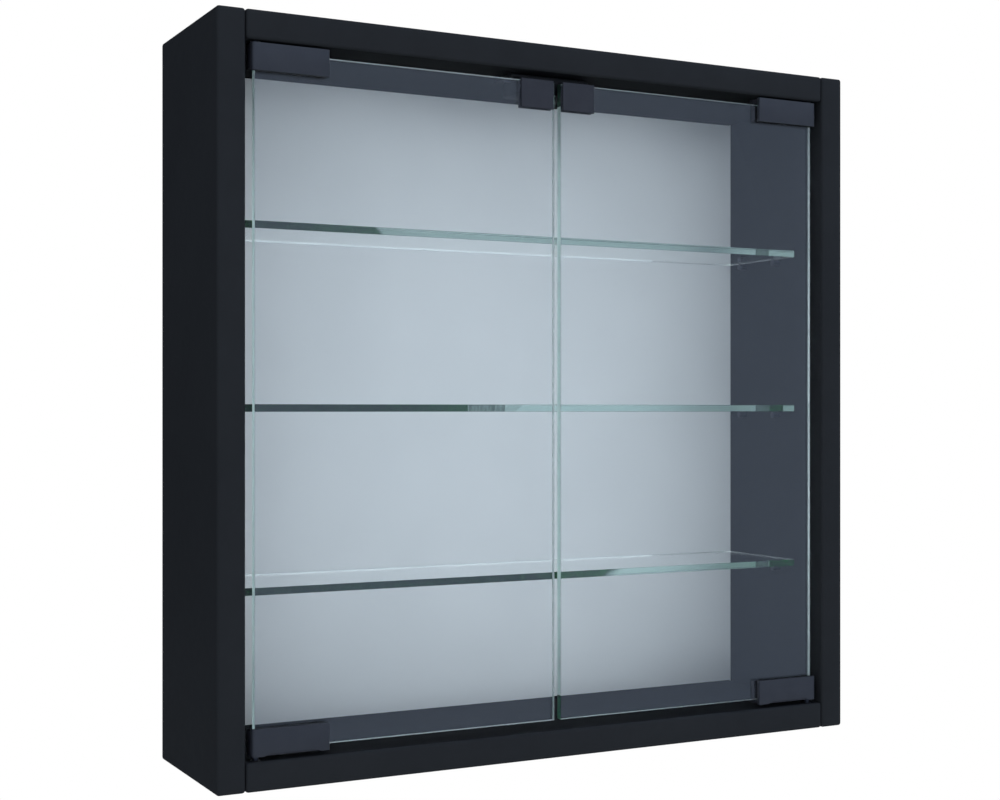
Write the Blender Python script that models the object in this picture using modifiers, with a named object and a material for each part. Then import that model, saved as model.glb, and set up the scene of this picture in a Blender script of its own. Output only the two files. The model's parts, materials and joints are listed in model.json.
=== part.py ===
"""Wall-hung display cabinet with two frameless glass doors and three glass shelves.

Metres, +Z up, +X to the right of someone facing the cabinet. The doors face -Y and the wall is the
plane Y = 0. The origin is on the rear edge of the top board, half way along it and 10 mm below the
cabinet's top: the strip that rests against the wall.
"""

import math

import bmesh
import bpy
from mathutils import Matrix, Vector

# ---- Driving dimensions ----
WIDTH = 0.600
HEIGHT = 0.600
DEPTH = 0.150
BOARD = 0.023  # thickness of the four boards
EDGE_ROUND = 0.0025  # the boards' rounded edges
GAP = 0.0003  # play between two pieces that touch
ORIGIN_BELOW_TOP = 0.010

BACK_THICKNESS = 0.003
BACK_INSET = 0.0015  # from the wall plane to the back panel
REBATE = 0.006  # how far the back panel reaches under each board

GLASS = 0.006  # doors and shelves
GLASS_ARRIS = 0.0002  # ground corner of a glass edge

DOOR_INSET = 0.006  # from the cabinet's front to the door's front
DOOR_SIDE_GAP = 0.009  # from a side panel to the door glass
DOOR_END_GAP = 0.0078  # from the top or bottom board to the door glass
DOOR_MEETING_GAP = 0.006  # between the two doors

SHELF_INSET = 0.042  # from the cabinet's front to a shelf's front
SHELF_REAR_GAP = 0.0005
SHELF_END_GAP = 0.001
SHELF_MIDDLES = {"lower": 0.149, "middle": 0.2945, "upper": 0.440}  # above the cabinet's bottom
SHELF_PIN_INSET = 0.025  # from a shelf's front or rear edge to its pins
SHELF_PIN_R = 0.003
SHELF_PIN_OUT = 0.008
SHELF_PIN_SHANK_R = 0.0024
SHELF_PIN_SHANK = 0.010

SPLINE_THICKNESS = 0.004  # loose tongues glued into the four corners
SPLINE_REACH = 0.010  # into each board
SPLINE_LENGTH = 0.090

# Hinges. Local axes of a hinge: the pivot is x = y = 0, x runs from the side panel towards the middle
# of the door, y towards the wall, z from the board that carries the hinge towards the door's middle.
PIVOT_FROM_SIDE = 0.0105
HINGE_OUTER = -0.0050  # the end beside the side panel
HINGE_INNER = 0.0588  # the end towards the middle of the door
HINGE_FEET = {"bottom": 0.0034, "top": 0.0017}  # lowest part of the cap above the board
HINGE_HEIGHT = 0.0214
CAP_FRONT = 0.0070  # in front of the pivot
CAP_CORNER_R = 0.0034  # rounded so that the open door clears the side panel
CAP_SKIN = 0.0012
CAP_PLATE = 0.0014
NOTCH_DEPTH = 0.0020  # shallow cut in the lower edge of the two bottom caps
NOTCH_LENGTH = 0.0370
NOTCH_SLOPE = 0.0048  # length of the slope at each end of the notch
NOTCH_SHIFT = 0.0014  # to the right of the cap's middle, on both hands
BODY_REAR = 0.0085  # behind the pivot
BODY_STEP = 0.0030  # the cap ends this far in front of the pivot
PAD = 0.0005
PIN_R = 0.0024
PIN_IN_BOARD = 0.009
BUSH_R = 0.0040
BUSH_DEPTH = 0.011
CLAMP_SCREW_X = 0.030
CLAMP_SCREW_RISE = 0.0112  # above the cap's lowest part
CLAMP_SCREW_R = 0.0022
CLAMP_HEAD_R = 0.0036
CLAMP_HEAD = 0.0018

# Strike clips on the doors' free top corners, and the push latch that meets them
CLIP_WIDTH = 0.031
CLIP_HEIGHT = 0.0246
CLIP_PLATE = 0.0012
CLIP_EDGE_INSET = 0.0014
LATCH_HALF = 0.029
LATCH_FLANGE = 0.009
LATCH_FLANGE_THICKNESS = 0.003
LATCH_HEIGHT = 0.0157
LATCH_DEPTH = 0.034
PLUNGER_X = 0.018
PLUNGER_R = 0.0040
PLUNGER_DROP = 0.0105  # plunger's axis below the top board
PLUNGER_OUT = 0.0050
PLUNGER_LENGTH = 0.022
PLUNGER_STROKE = 0.003
PLUNGER_SPRING_ROOM = 0.002
LATCH_SCREW_R = 0.0015
LATCH_SCREW_LENGTH = 0.013
LATCH_SCREW_HEAD_R = 0.0030
LATCH_SCREW_HEAD = 0.0016

# Keyhole hanger plates, let into the rear edges of the side panels
HANGER_WIDTH = 0.012
HANGER_HEIGHT = 0.050
HANGER_THICKNESS = 0.0015
HANGER_DROP = 0.055  # plate's middle below the cabinet's top
HANGER_CORNER_R = 0.003
KEYHOLE_R = 0.0038
KEYHOLE_SLOT_R = 0.0020
KEYHOLE_REACH = 0.006  # of its two centres from the plate's middle
HANGER_HOLE_R = 0.0018
HANGER_HOLE_REACH = 0.0195
HEAD_POCKET_DEPTH = 0.008

# ---- Planes worked out from them ----
X_OUT = WIDTH / 2
X_IN = X_OUT - BOARD
Z_TOP = ORIGIN_BELOW_TOP
Z_CEILING = Z_TOP - BOARD
Z_BOTTOM = Z_TOP - HEIGHT
Z_FLOOR = Z_BOTTOM + BOARD
Y_FRONT = -DEPTH
Y_BACK_FACE = -(BACK_INSET + BACK_THICKNESS)
Y_GLASS_FRONT = Y_FRONT + DOOR_INSET
Y_GLASS_REAR = Y_GLASS_FRONT + GLASS
PIVOT_X = X_IN - PIVOT_FROM_SIDE
PIVOT_Y = (Y_GLASS_FRONT + Y_GLASS_REAR) / 2
HANGER_X = (X_IN + REBATE + GAP + X_OUT - EDGE_ROUND) / 2
HANGER_Z = Z_TOP - HANGER_DROP
CUT = 0.005  # how far a cutter reaches past the face it cuts

SIDES = {"left": -1, "right": 1}
ENDS = {"bottom": 1, "top": -1}  # a hinge's z axis in the world's


# ---- Scene, materials and collections ----
def clear_scene():
    for old in list(bpy.data.objects):
        bpy.data.objects.remove(old, do_unlink=True)


def new_collection(name):
    made = bpy.data.collections.new(name)
    bpy.context.scene.collection.children.link(made)
    return made


def principled(name, colour, roughness, metallic=0.0, transmission=0.0):
    made = bpy.data.materials.new(name)
    made.use_nodes = True
    shader = made.node_tree.nodes["Principled BSDF"]
    shader.inputs["Base Color"].default_value = (*colour, 1.0)
    shader.inputs["Roughness"].default_value = roughness
    shader.inputs["Metallic"].default_value = metallic
    shader.inputs["Transmission Weight"].default_value = transmission
    return made


clear_scene()
PARTS = new_collection("display_cabinet")
CUTTERS = new_collection("cutters")

FINISHES = {
    "anthracite_board": ((0.022, 0.024, 0.029), 0.55, 0.0, 0.0),
    "white_back": ((0.72, 0.76, 0.79), 0.60, 0.0, 0.0),
    "clear_glass": ((0.86, 0.96, 0.94), 0.02, 0.0, 1.0),
    "anthracite_plastic": ((0.030, 0.033, 0.042), 0.45, 0.0, 0.0),
    "anthracite_metal": ((0.034, 0.036, 0.044), 0.40, 0.6, 0.0),
    "black_rubber": ((0.012, 0.012, 0.013), 0.80, 0.0, 0.0),
    "bright_steel": ((0.62, 0.62, 0.63), 0.28, 1.0, 0.0),
    "dark_steel": ((0.085, 0.088, 0.095), 0.35, 1.0, 0.0),
    "black_nylon": ((0.018, 0.019, 0.021), 0.50, 0.0, 0.0),
    "plywood": ((0.46, 0.33, 0.20), 0.75, 0.0, 0.0),
}


# ---- Making and joining shapes ----
def link_only(thing, collection):
    for holder in list(thing.users_collection):
        holder.objects.unlink(thing)
    collection.objects.link(thing)


def finish(thing, name, finish_name, collection=None):
    """Names a piece and gives it its own material. Returns the piece."""
    thing.name = name
    thing.data.name = name
    thing.data.materials.clear()
    thing.data.materials.append(principled(f"{finish_name}_{name}", *FINISHES[finish_name]))
    link_only(thing, collection or PARTS)
    return thing


def box(low, high):
    """A box between two corners, with its origin in its middle and its scale applied."""
    low, high = Vector(low), Vector(high)
    bpy.ops.mesh.primitive_cube_add(size=1.0, location=(low + high) / 2)
    thing = bpy.context.active_object
    size = high - low
    thing.data.transform(Matrix.Diagonal((*size, 1.0)))
    return thing


def round_edges(thing, width, segments):
    bevel = thing.modifiers.new("rounded_edges", "BEVEL")
    bevel.width = width
    bevel.segments = segments
    bevel.limit_method = "ANGLE"
    bevel.angle_limit = math.radians(40)
    return thing


def as_cutter(thing, name):
    thing.name = f"cut_{name}"
    thing.hide_render = True
    thing.display_type = "WIRE"
    link_only(thing, CUTTERS)
    return thing


def cut(thing, cutter):
    step = thing.modifiers.new(cutter.name, "BOOLEAN")
    step.operation = "DIFFERENCE"
    step.solver = "EXACT"
    step.object = cutter
    return thing


def cut_box(thing, low, high, name):
    return cut(thing, as_cutter(box(low, high), name))


def cut_round(thing, start, end, radius, name, sides=16):
    """Cuts a round hole from one point to another."""
    start, end = Vector(start), Vector(end)
    run = end - start
    bpy.ops.mesh.primitive_cylinder_add(
        vertices=sides, radius=radius, depth=run.length, location=(start + end) / 2
    )
    cutter = bpy.context.active_object
    cutter.rotation_euler = run.to_track_quat("Z", "Y").to_euler()
    return cut(thing, as_cutter(cutter, name))


def turned(profile, sides, place=(0, 0, 0), along=(0, 0, 1)):
    """A turned piece. The profile is (radius, height) points down its outer side, its axis is local Z."""
    mesh = bpy.data.meshes.new("turned")
    form = bmesh.new()
    rim = [form.verts.new((radius, 0.0, height)) for radius, height in profile]
    for upper, lower in zip(rim, rim[1:]):
        form.edges.new((upper, lower))
    if profile[0][0] > 0.0:
        form.edges.new((rim[-1], rim[0]))
    form.to_mesh(mesh)
    form.free()
    thing = bpy.data.objects.new("turned", mesh)
    PARTS.objects.link(thing)
    screw = thing.modifiers.new("turn", "SCREW")
    screw.axis = "Z"
    screw.steps = sides
    screw.render_steps = sides
    screw.use_merge_vertices = True
    screw.merge_threshold = 0.00001
    thing.location = place
    thing.rotation_euler = Vector(along).to_track_quat("Z", "Y").to_euler()
    return thing


def arc(centre, radius, start_deg, end_deg, steps):
    """Points along an arc in a plane."""
    turn = [math.radians(start_deg + (end_deg - start_deg) * i / steps) for i in range(steps + 1)]
    return [(centre[0] + radius * math.cos(a), centre[1] + radius * math.sin(a)) for a in turn]


def plate(outlines, low, high):
    """Flat outlines, the first around the others, as a mesh plate from z = low to z = high."""
    curve = bpy.data.curves.new("outline", "CURVE")
    curve.dimensions = "2D"
    curve.fill_mode = "BOTH"
    curve.extrude = (high - low) / 2
    for outline in outlines:
        spline = curve.splines.new("POLY")
        spline.points.add(len(outline) - 1)
        for point, (x, y) in zip(spline.points, outline):
            point.co = (x, y, 0.0, 1.0)
        spline.use_cyclic_u = True
    guide = bpy.data.objects.new("outline", curve)
    guide.location = (0.0, 0.0, (low + high) / 2)
    PARTS.objects.link(guide)
    return solid_copy(guide, 0.000001)


def solid_copy(thing, weld=0.0):
    """The evaluated object as a plain mesh object with its place in its mesh; the original goes."""
    bpy.context.view_layer.update()
    graph = bpy.context.evaluated_depsgraph_get()
    mesh = bpy.data.meshes.new_from_object(thing.evaluated_get(graph))
    mesh.transform(thing.matrix_world)
    form = bmesh.new()
    form.from_mesh(mesh)
    if weld:
        bmesh.ops.remove_doubles(form, verts=form.verts, dist=weld)
        bmesh.ops.recalc_face_normals(form, faces=form.faces)
    form.to_mesh(mesh)
    form.free()
    mesh.materials.clear()
    bpy.data.objects.remove(thing, do_unlink=True)
    made = bpy.data.objects.new("solid", mesh)
    PARTS.objects.link(made)
    return made


def drop_cutters():
    """Removes the cutters of a shape that has been turned into a plain mesh."""
    for cutter in list(CUTTERS.objects):
        if cutter.name.startswith("cut_master"):
            bpy.data.objects.remove(cutter, do_unlink=True)


def shade(thing):
    thing.data.shade_smooth()
    thing.data.set_sharp_from_angle(angle=math.radians(35))
    return thing


# ---- Carcass ----
def side_panel(side, sign):
    inner, outer = sorted((sign * X_IN, sign * X_OUT))
    panel = box((inner, Y_FRONT, Z_BOTTOM), (outer, 0.0, Z_TOP))
    round_edges(panel, EDGE_ROUND, 3)

    def across(depth, margin=CUT):
        """The x range from the panel's inner face outwards, as (low, high)."""
        return sorted((sign * (X_IN - margin), sign * (X_IN + depth)))

    near, far = across(REBATE + GAP)
    cut_box(
        panel,
        (near, -(BACK_INSET + BACK_THICKNESS + GAP), Z_FLOOR - REBATE - GAP),
        (far, CUT, Z_CEILING + REBATE + GAP),
        f"rebate_{side}",
    )
    near, far = across(SPLINE_REACH + GAP)
    for end, z in (("top", Z_TOP - BOARD / 2), ("bottom", Z_BOTTOM + BOARD / 2)):
        cut_box(
            panel,
            (near, -(DEPTH + SPLINE_LENGTH) / 2 - GAP, z - SPLINE_THICKNESS / 2 - GAP),
            (far, -(DEPTH - SPLINE_LENGTH) / 2 + GAP, z + SPLINE_THICKNESS / 2 + GAP),
            f"spline_{side}_{end}",
        )
    for level, place, y, z in shelf_pin_places():
        cut_round(
            panel,
            (sign * (X_IN - CUT), y, z),
            (sign * (X_IN + SHELF_PIN_SHANK + GAP), y, z),
            SHELF_PIN_SHANK_R + GAP,
            f"pin_{side}_{level}_{place}",
            sides=12,
        )
    cut_hanger_seat(panel, side, sign)
    return finish(panel, f"side_panel_{side}", "anthracite_board")


def cut_hanger_seat(panel, side, sign):
    """The shallow seat for the hanger plate, and the pocket behind its keyhole for a screw's head."""
    x = sign * HANGER_X
    half_width, half_height = HANGER_WIDTH / 2 + GAP, HANGER_HEIGHT / 2 + GAP
    cut_box(
        panel,
        (x - half_width, -HANGER_THICKNESS - GAP, HANGER_Z - half_height),
        (x + half_width, CUT, HANGER_Z + half_height),
        f"hanger_seat_{side}",
    )
    reach = KEYHOLE_REACH + KEYHOLE_R
    cut_box(
        panel,
        (x - KEYHOLE_R, -HEAD_POCKET_DEPTH, HANGER_Z - reach),
        (x + KEYHOLE_R, CUT / 2, HANGER_Z + reach),
        f"head_pocket_{side}",
    )
    for name, z in (("high", HANGER_Z + HANGER_HOLE_REACH), ("low", HANGER_Z - HANGER_HOLE_REACH)):
        cut_round(panel, (x, -0.012, z), (x, CUT / 2, z), HANGER_HOLE_R, f"pilot_{side}_{name}", 12)


def cross_board(end):
    """The top or bottom board, between the side panels."""
    low, high = (Z_CEILING, Z_TOP) if end == "top" else (Z_BOTTOM, Z_FLOOR)
    half = X_IN - GAP
    board = box((-half, Y_FRONT, low), (half, 0.0, high))
    round_edges(board, EDGE_ROUND, 3)
    inside = low if end == "top" else high
    outwards = 1 if end == "top" else -1
    rebate = sorted((inside - outwards * CUT, inside + outwards * (REBATE + GAP)))
    cut_box(
        board,
        (-X_OUT, -(BACK_INSET + BACK_THICKNESS + GAP), rebate[0]),
        (X_OUT, CUT, rebate[1]),
        f"rebate_{end}",
    )
    z = (low + high) / 2
    for side, sign in SIDES.items():
        reach = sorted((sign * (X_IN - SPLINE_REACH - GAP), sign * (X_IN + CUT)))
        cut_box(
            board,
            (reach[0], -(DEPTH + SPLINE_LENGTH) / 2 - GAP, z - SPLINE_THICKNESS / 2 - GAP),
            (reach[1], -(DEPTH - SPLINE_LENGTH) / 2 + GAP, z + SPLINE_THICKNESS / 2 + GAP),
            f"spline_{end}_{side}",
        )
        cut_round(
            board,
            (sign * PIVOT_X, PIVOT_Y, inside - outwards * CUT),
            (sign * PIVOT_X, PIVOT_Y, inside + outwards * (BUSH_DEPTH + GAP)),
            BUSH_R + GAP,
            f"bush_{end}_{side}",
            sides=20,
        )
        if end == "top":
            x, y = sign * (LATCH_HALF + LATCH_FLANGE / 2), latch_middle_y()
            cut_round(
                board,
                (x, y, inside - CUT),
                (x, y, inside + LATCH_SCREW_LENGTH - LATCH_FLANGE_THICKNESS + GAP),
                LATCH_SCREW_R + GAP,
                f"latch_screw_{side}",
                sides=12,
            )
    return finish(board, f"{end}_board", "anthracite_board")


def back_panel():
    reach = X_IN + REBATE
    panel = box(
        (-reach, Y_BACK_FACE, Z_FLOOR - REBATE),
        (reach, -BACK_INSET, Z_CEILING + REBATE),
    )
    return finish(panel, "back_panel", "white_back")


def corner_splines():
    for end, z in (("top", Z_TOP - BOARD / 2), ("bottom", Z_BOTTOM + BOARD / 2)):
        for side, sign in SIDES.items():
            x = sign * X_IN
            tongue = box(
                (x - SPLINE_REACH, -(DEPTH + SPLINE_LENGTH) / 2, z - SPLINE_THICKNESS / 2),
                (x + SPLINE_REACH, -(DEPTH - SPLINE_LENGTH) / 2, z + SPLINE_THICKNESS / 2),
            )
            round_edges(tongue, 0.0006, 1)
            finish(tongue, f"corner_spline_{end}_{side}", "plywood")


# ---- Shelves ----
def shelf_span():
    """A shelf's front and rear in y."""
    return Y_FRONT + SHELF_INSET, Y_BACK_FACE - SHELF_REAR_GAP


def shelf_pin_places():
    """Where each shelf pin's axis is: (level, front or rear, y, z)."""
    front, rear = shelf_span()
    for level, middle in SHELF_MIDDLES.items():
        z = Z_BOTTOM + middle - GLASS / 2 - GAP - SHELF_PIN_R
        yield level, "front", front + SHELF_PIN_INSET, z
        yield level, "rear", rear - SHELF_PIN_INSET, z


def shelves():
    front, rear = shelf_span()
    reach = X_IN - SHELF_END_GAP
    for level, middle in SHELF_MIDDLES.items():
        z = Z_BOTTOM + middle
        shelf = box((-reach, front, z - GLASS / 2), (reach, rear, z + GLASS / 2))
        round_edges(shelf, GLASS_ARRIS, 1)
        finish(shelf, f"glass_shelf_{level}", "clear_glass")


def shelf_pins():
    shoulder = GAP  # the head stands this far off the side panel
    profile = [
        (0.0, shoulder + SHELF_PIN_OUT),
        (SHELF_PIN_R - 0.0006, shoulder + SHELF_PIN_OUT),
        (SHELF_PIN_R, shoulder + SHELF_PIN_OUT - 0.0006),
        (SHELF_PIN_R, shoulder),
        (SHELF_PIN_SHANK_R, shoulder),
        (SHELF_PIN_SHANK_R, -SHELF_PIN_SHANK),
        (0.0, -SHELF_PIN_SHANK),
    ]
    for side, sign in SIDES.items():
        for level, place, y, z in shelf_pin_places():
            pin = turned(profile, 12, (sign * X_IN, y, z), (-sign, 0, 0))
            shade(pin)
            finish(pin, f"shelf_pin_{level}_{side}_{place}", "dark_steel")


# ---- Doors ----
def door_axis(side, sign):
    """An empty on the door's pivot axis, which the door's pieces hang on."""
    axis = bpy.data.objects.new(f"door_{side}_axis", None)
    axis.empty_display_size = 0.05
    axis.location = (sign * PIVOT_X, PIVOT_Y, 0.0)
    PARTS.objects.link(axis)
    return axis


def hang_on(piece, axis):
    piece.parent = axis
    piece.matrix_parent_inverse = Matrix.Translation(-axis.location)
    return piece


def door_glass(side, sign):
    free, fixed = sign * DOOR_MEETING_GAP / 2, sign * (X_IN - DOOR_SIDE_GAP)
    pane = box(
        (min(free, fixed), Y_GLASS_FRONT, Z_FLOOR + DOOR_END_GAP),
        (max(free, fixed), Y_GLASS_REAR, Z_CEILING - DOOR_END_GAP),
    )
    round_edges(pane, GLASS_ARRIS, 1)
    return finish(pane, f"door_glass_{side}", "clear_glass")


def strike_clip(side, sign):
    """A channel pushed over the glass's top edge at the door's free corner."""
    glass_top = Z_CEILING - DOOR_END_GAP
    free = sign * (DOOR_MEETING_GAP / 2 + CLIP_EDGE_INSET)
    far = free + sign * CLIP_WIDTH
    front, rear = Y_GLASS_FRONT - GAP, Y_GLASS_REAR + GAP
    top = glass_top + GAP + CLIP_PLATE
    clip = box(
        (min(free, far), front - CLIP_PLATE, top - CLIP_HEIGHT),
        (max(free, far), rear + CLIP_PLATE, top),
    )
    round_edges(clip, 0.0004, 1)
    cut_box(
        clip,
        (-X_IN, front, top - CLIP_HEIGHT - CUT),
        (X_IN, rear, glass_top + GAP),
        f"clip_channel_{side}",
    )
    return finish(clip, f"strike_clip_{side}", "anthracite_metal")


# ---- Hinges ----
def hinge_top(end):
    return HINGE_FEET[end] + HINGE_HEIGHT


def hinge_slot():
    """The half width, outer end and floor of the slot that takes the padded glass corner."""
    half = GLASS / 2 + PAD + 2 * GAP
    end = DOOR_SIDE_GAP - PIVOT_FROM_SIDE - PAD - 2 * GAP
    floor = DOOR_END_GAP - PAD - 2 * GAP
    return half, end, floor


def hinge_body(end):
    """The clamp that takes the glass corner: a block with a slot, a pivot hole and a screw hole."""
    slot_half, slot_end, slot_floor = hinge_slot()
    front = CAP_FRONT - CAP_PLATE - GAP
    outer, inner = HINGE_OUTER + CAP_SKIN + GAP, HINGE_INNER - CAP_SKIN - GAP
    bend = CAP_CORNER_R - CAP_SKIN - GAP
    rear_bend = 0.003
    outline = [
        (outer, -BODY_STEP),
        *arc((outer + bend, -front + bend), bend, 180, 270, 5),
        (inner, -front),
        (inner, GLASS / 2),
        (HINGE_INNER, GLASS / 2),
        *arc((HINGE_INNER - 0.001, BODY_REAR - 0.001), 0.001, 0, 90, 2),
        *arc((HINGE_OUTER + rear_bend, BODY_REAR - rear_bend), rear_bend, 90, 180, 4),
        (HINGE_OUTER, -BODY_STEP),
    ]
    low, high = HINGE_FEET[end] + GAP, hinge_top(end) - CAP_SKIN - GAP
    body = plate([outline], low, high)
    cut_box(
        body,
        (slot_end, -slot_half, slot_floor),
        (HINGE_INNER + CUT, slot_half, high + CUT),
        "master_slot",
    )
    cut_round(body, (0, 0, low - CUT), (0, 0, slot_floor + CUT), PIN_R + GAP, "master_pivot")
    screw_z = HINGE_FEET[end] + CLAMP_SCREW_RISE
    cut_round(
        body,
        (CLAMP_SCREW_X, 0.0, screw_z),
        (CLAMP_SCREW_X, BODY_REAR + CUT, screw_z),
        CLAMP_SCREW_R + GAP,
        "master_clamp",
    )
    return body


def hinge_cap(end):
    """The cover over the front half: an open tray with a rounded outer corner."""
    foot, top = HINGE_FEET[end], hinge_top(end)
    rear = BODY_STEP + GAP
    outline = [
        (HINGE_OUTER, -rear),
        *arc((HINGE_OUTER + CAP_CORNER_R, CAP_CORNER_R - CAP_FRONT), CAP_CORNER_R, 180, 270, 6),
        *arc((HINGE_INNER - 0.0006, 0.0006 - CAP_FRONT), 0.0006, 270, 360, 1),
        (HINGE_INNER, -rear),
    ]
    cap = plate([outline], foot, top)
    bend = CAP_CORNER_R - CAP_SKIN
    hollow_outer, hollow_front = HINGE_OUTER + CAP_SKIN, CAP_FRONT - CAP_PLATE
    hollow = [
        (hollow_outer, CUT),
        *arc((hollow_outer + bend, bend - hollow_front), bend, 180, 270, 5),
        (HINGE_INNER - CAP_SKIN, -hollow_front),
        (HINGE_INNER - CAP_SKIN, CUT),
    ]
    return cut(cap, as_cutter(plate([hollow], foot - CUT, top - CAP_SKIN), "master_hollow"))


def cut_notch(cap, side, sign):
    """The notch in a bottom cap's lower edge. One moulding serves both hands, so it isn't mirrored."""
    middle = sign * (PIVOT_X - (HINGE_OUTER + HINGE_INNER) / 2) + NOTCH_SHIFT
    foot = Z_FLOOR + HINGE_FEET["bottom"]
    wide, narrow = NOTCH_LENGTH / 2 + 2 * NOTCH_SLOPE, NOTCH_LENGTH / 2
    notch = [
        (middle - wide, foot - NOTCH_DEPTH),
        (middle + wide, foot - NOTCH_DEPTH),
        (middle + narrow, foot + NOTCH_DEPTH),
        (middle - narrow, foot + NOTCH_DEPTH),
    ]
    prism = plate([notch], 0.0, DEPTH)
    prism.data.transform(Matrix.Rotation(math.radians(90), 4, "X"))
    prism.data.transform(Matrix.Translation((0.0, PIVOT_Y, 0.0)))
    return cut(cap, as_cutter(prism, f"notch_{side}"))


def hinge_pad(end):
    """The soft liner between the slot and the glass corner."""
    slot_half, slot_end, slot_floor = hinge_slot()
    outer, floor, half = slot_end + GAP, slot_floor + GAP, slot_half - GAP
    high = hinge_top(end) - CAP_SKIN - 2 * GAP
    pad = box((outer, -half, floor), (HINGE_INNER - 0.002, half, high))
    cut_box(
        pad,
        (outer + PAD, PAD - half, floor + PAD),
        (HINGE_INNER + CUT, half - PAD, high + CUT),
        "master_pad",
    )
    return pad


def hinge_pin(end):
    tip = -PIN_IN_BOARD
    top = hinge_slot()[2] - GAP
    return turned(
        [(0, top), (PIN_R, top), (PIN_R, tip + 0.001), (PIN_R - 0.001, tip), (0, tip)],
        16,
    )


def hinge_bush(end):
    """A cup let into the board, flush with it, which the pin turns in."""
    bore = PIN_R + GAP
    cup_floor = -PIN_IN_BOARD - GAP
    profile = [
        (0.0, cup_floor),
        (bore, cup_floor),
        (bore, 0.0),
        (BUSH_R, 0.0),
        (BUSH_R, -BUSH_DEPTH),
        (0.0, -BUSH_DEPTH),
    ]
    return turned(profile, 20)


def hinge_screw(end):
    """The clamp screw behind the glass, with a hexagon socket in its head."""
    slot_half = hinge_slot()[0]
    seat = BODY_REAR + GAP
    head = seat + CLAMP_HEAD
    z = HINGE_FEET[end] + CLAMP_SCREW_RISE
    screw = turned(
        [
            (0.0, head),
            (CLAMP_HEAD_R - 0.0004, head),
            (CLAMP_HEAD_R, head - 0.0004),
            (CLAMP_HEAD_R, seat),
            (CLAMP_SCREW_R, seat),
            (CLAMP_SCREW_R, slot_half),
            (0.0, slot_half),
        ],
        14,
        (CLAMP_SCREW_X, 0.0, z),
        (0, 1, 0),
    )
    socket_floor = (CLAMP_SCREW_X, head - 0.0012, z)
    mouth = (CLAMP_SCREW_X, head + CUT, z)
    return cut_round(screw, socket_floor, mouth, 0.0017, "master_socket", sides=6)


def hinge_pieces():
    """Makes a bottom and a top hinge in their local axes, then sets each at two corners."""
    makers = {
        "body": (hinge_body, "anthracite_metal"),
        "cap": (hinge_cap, "anthracite_plastic"),
        "pad": (hinge_pad, "black_rubber"),
        "pin": (hinge_pin, "dark_steel"),
        "bush": (hinge_bush, "black_nylon"),
        "screw": (hinge_screw, "dark_steel"),
    }
    for name, (maker, finish_name) in makers.items():
        for end, up in ENDS.items():
            master = solid_copy(maker(end))
            drop_cutters()
            for side, sign in SIDES.items():
                piece = set_at_corner(master, name, side, end, sign, up, finish_name)
                if name == "cap" and end == "bottom":
                    cut_notch(piece, side, sign)
                yield side, name, piece
            bpy.data.objects.remove(master, do_unlink=True)


def set_at_corner(master, name, side, end, sign, up, finish_name):
    """A copy of a hinge piece at one corner of the cabinet, mirrored to its hand."""
    mesh = master.data.copy()
    mesh.transform(Matrix.Diagonal((-sign, 1, up, 1)))
    if -sign * up < 0:
        mesh.flip_normals()
    copy = bpy.data.objects.new("hinge", mesh)
    copy.location = (sign * PIVOT_X, PIVOT_Y, Z_FLOOR if end == "bottom" else Z_CEILING)
    PARTS.objects.link(copy)
    finish(copy, f"hinge_{end}_{side}_{name}", finish_name)
    return shade(copy)


# ---- Push latch ----
def latch_front_y():
    """The latch body's front: a plunger at rest stands out of it as far as the door's strike clip."""
    return Y_GLASS_REAR + GAP + CLIP_PLATE + GAP + PLUNGER_OUT


def latch_middle_y():
    return latch_front_y() + LATCH_DEPTH / 2


def latch_body():
    front, top = latch_front_y(), Z_CEILING - GAP
    reach = LATCH_HALF + LATCH_FLANGE
    body = box((-reach, front, top - LATCH_HEIGHT), (reach, front + LATCH_DEPTH, top))
    for side, sign in SIDES.items():
        low, high = sorted((sign * LATCH_HALF, sign * (reach + CUT)))
        cut_box(
            body,
            (low, front - CUT, top - LATCH_HEIGHT - CUT),
            (high, front + LATCH_DEPTH + CUT, top - LATCH_FLANGE_THICKNESS),
            f"latch_flange_{side}",
        )
        x, z = sign * PLUNGER_X, Z_CEILING - PLUNGER_DROP
        bore_end = front - PLUNGER_OUT + PLUNGER_LENGTH + PLUNGER_STROKE + PLUNGER_SPRING_ROOM
        cut_round(
            body,
            (x, front - CUT, z),
            (x, bore_end, z),
            PLUNGER_R + GAP,
            f"latch_bore_{side}",
            sides=20,
        )
        x, y = sign * (LATCH_HALF + LATCH_FLANGE / 2), latch_middle_y()
        cut_round(
            body,
            (x, y, top - LATCH_HEIGHT),
            (x, y, top + CUT),
            LATCH_SCREW_R + GAP,
            f"latch_hole_{side}",
            sides=12,
        )
    round_edges(body, 0.0008, 1)
    return finish(body, "latch_body", "anthracite_plastic")


def latch_plunger(side, sign):
    """A sprung plunger with a magnet face, its length along the door's push."""
    start = latch_front_y() - PLUNGER_OUT
    profile = [
        (0.0, 0.0),
        (PLUNGER_R - 0.0006, 0.0),
        (PLUNGER_R, -0.0006),
        (PLUNGER_R, -PLUNGER_LENGTH),
        (0.0, -PLUNGER_LENGTH),
    ]
    place = (sign * PLUNGER_X, start, Z_CEILING - PLUNGER_DROP)
    plunger = turned(profile, 20, place, (0, -1, 0))
    shade(plunger)
    return finish(plunger, f"latch_plunger_{side}", "black_nylon")


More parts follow.
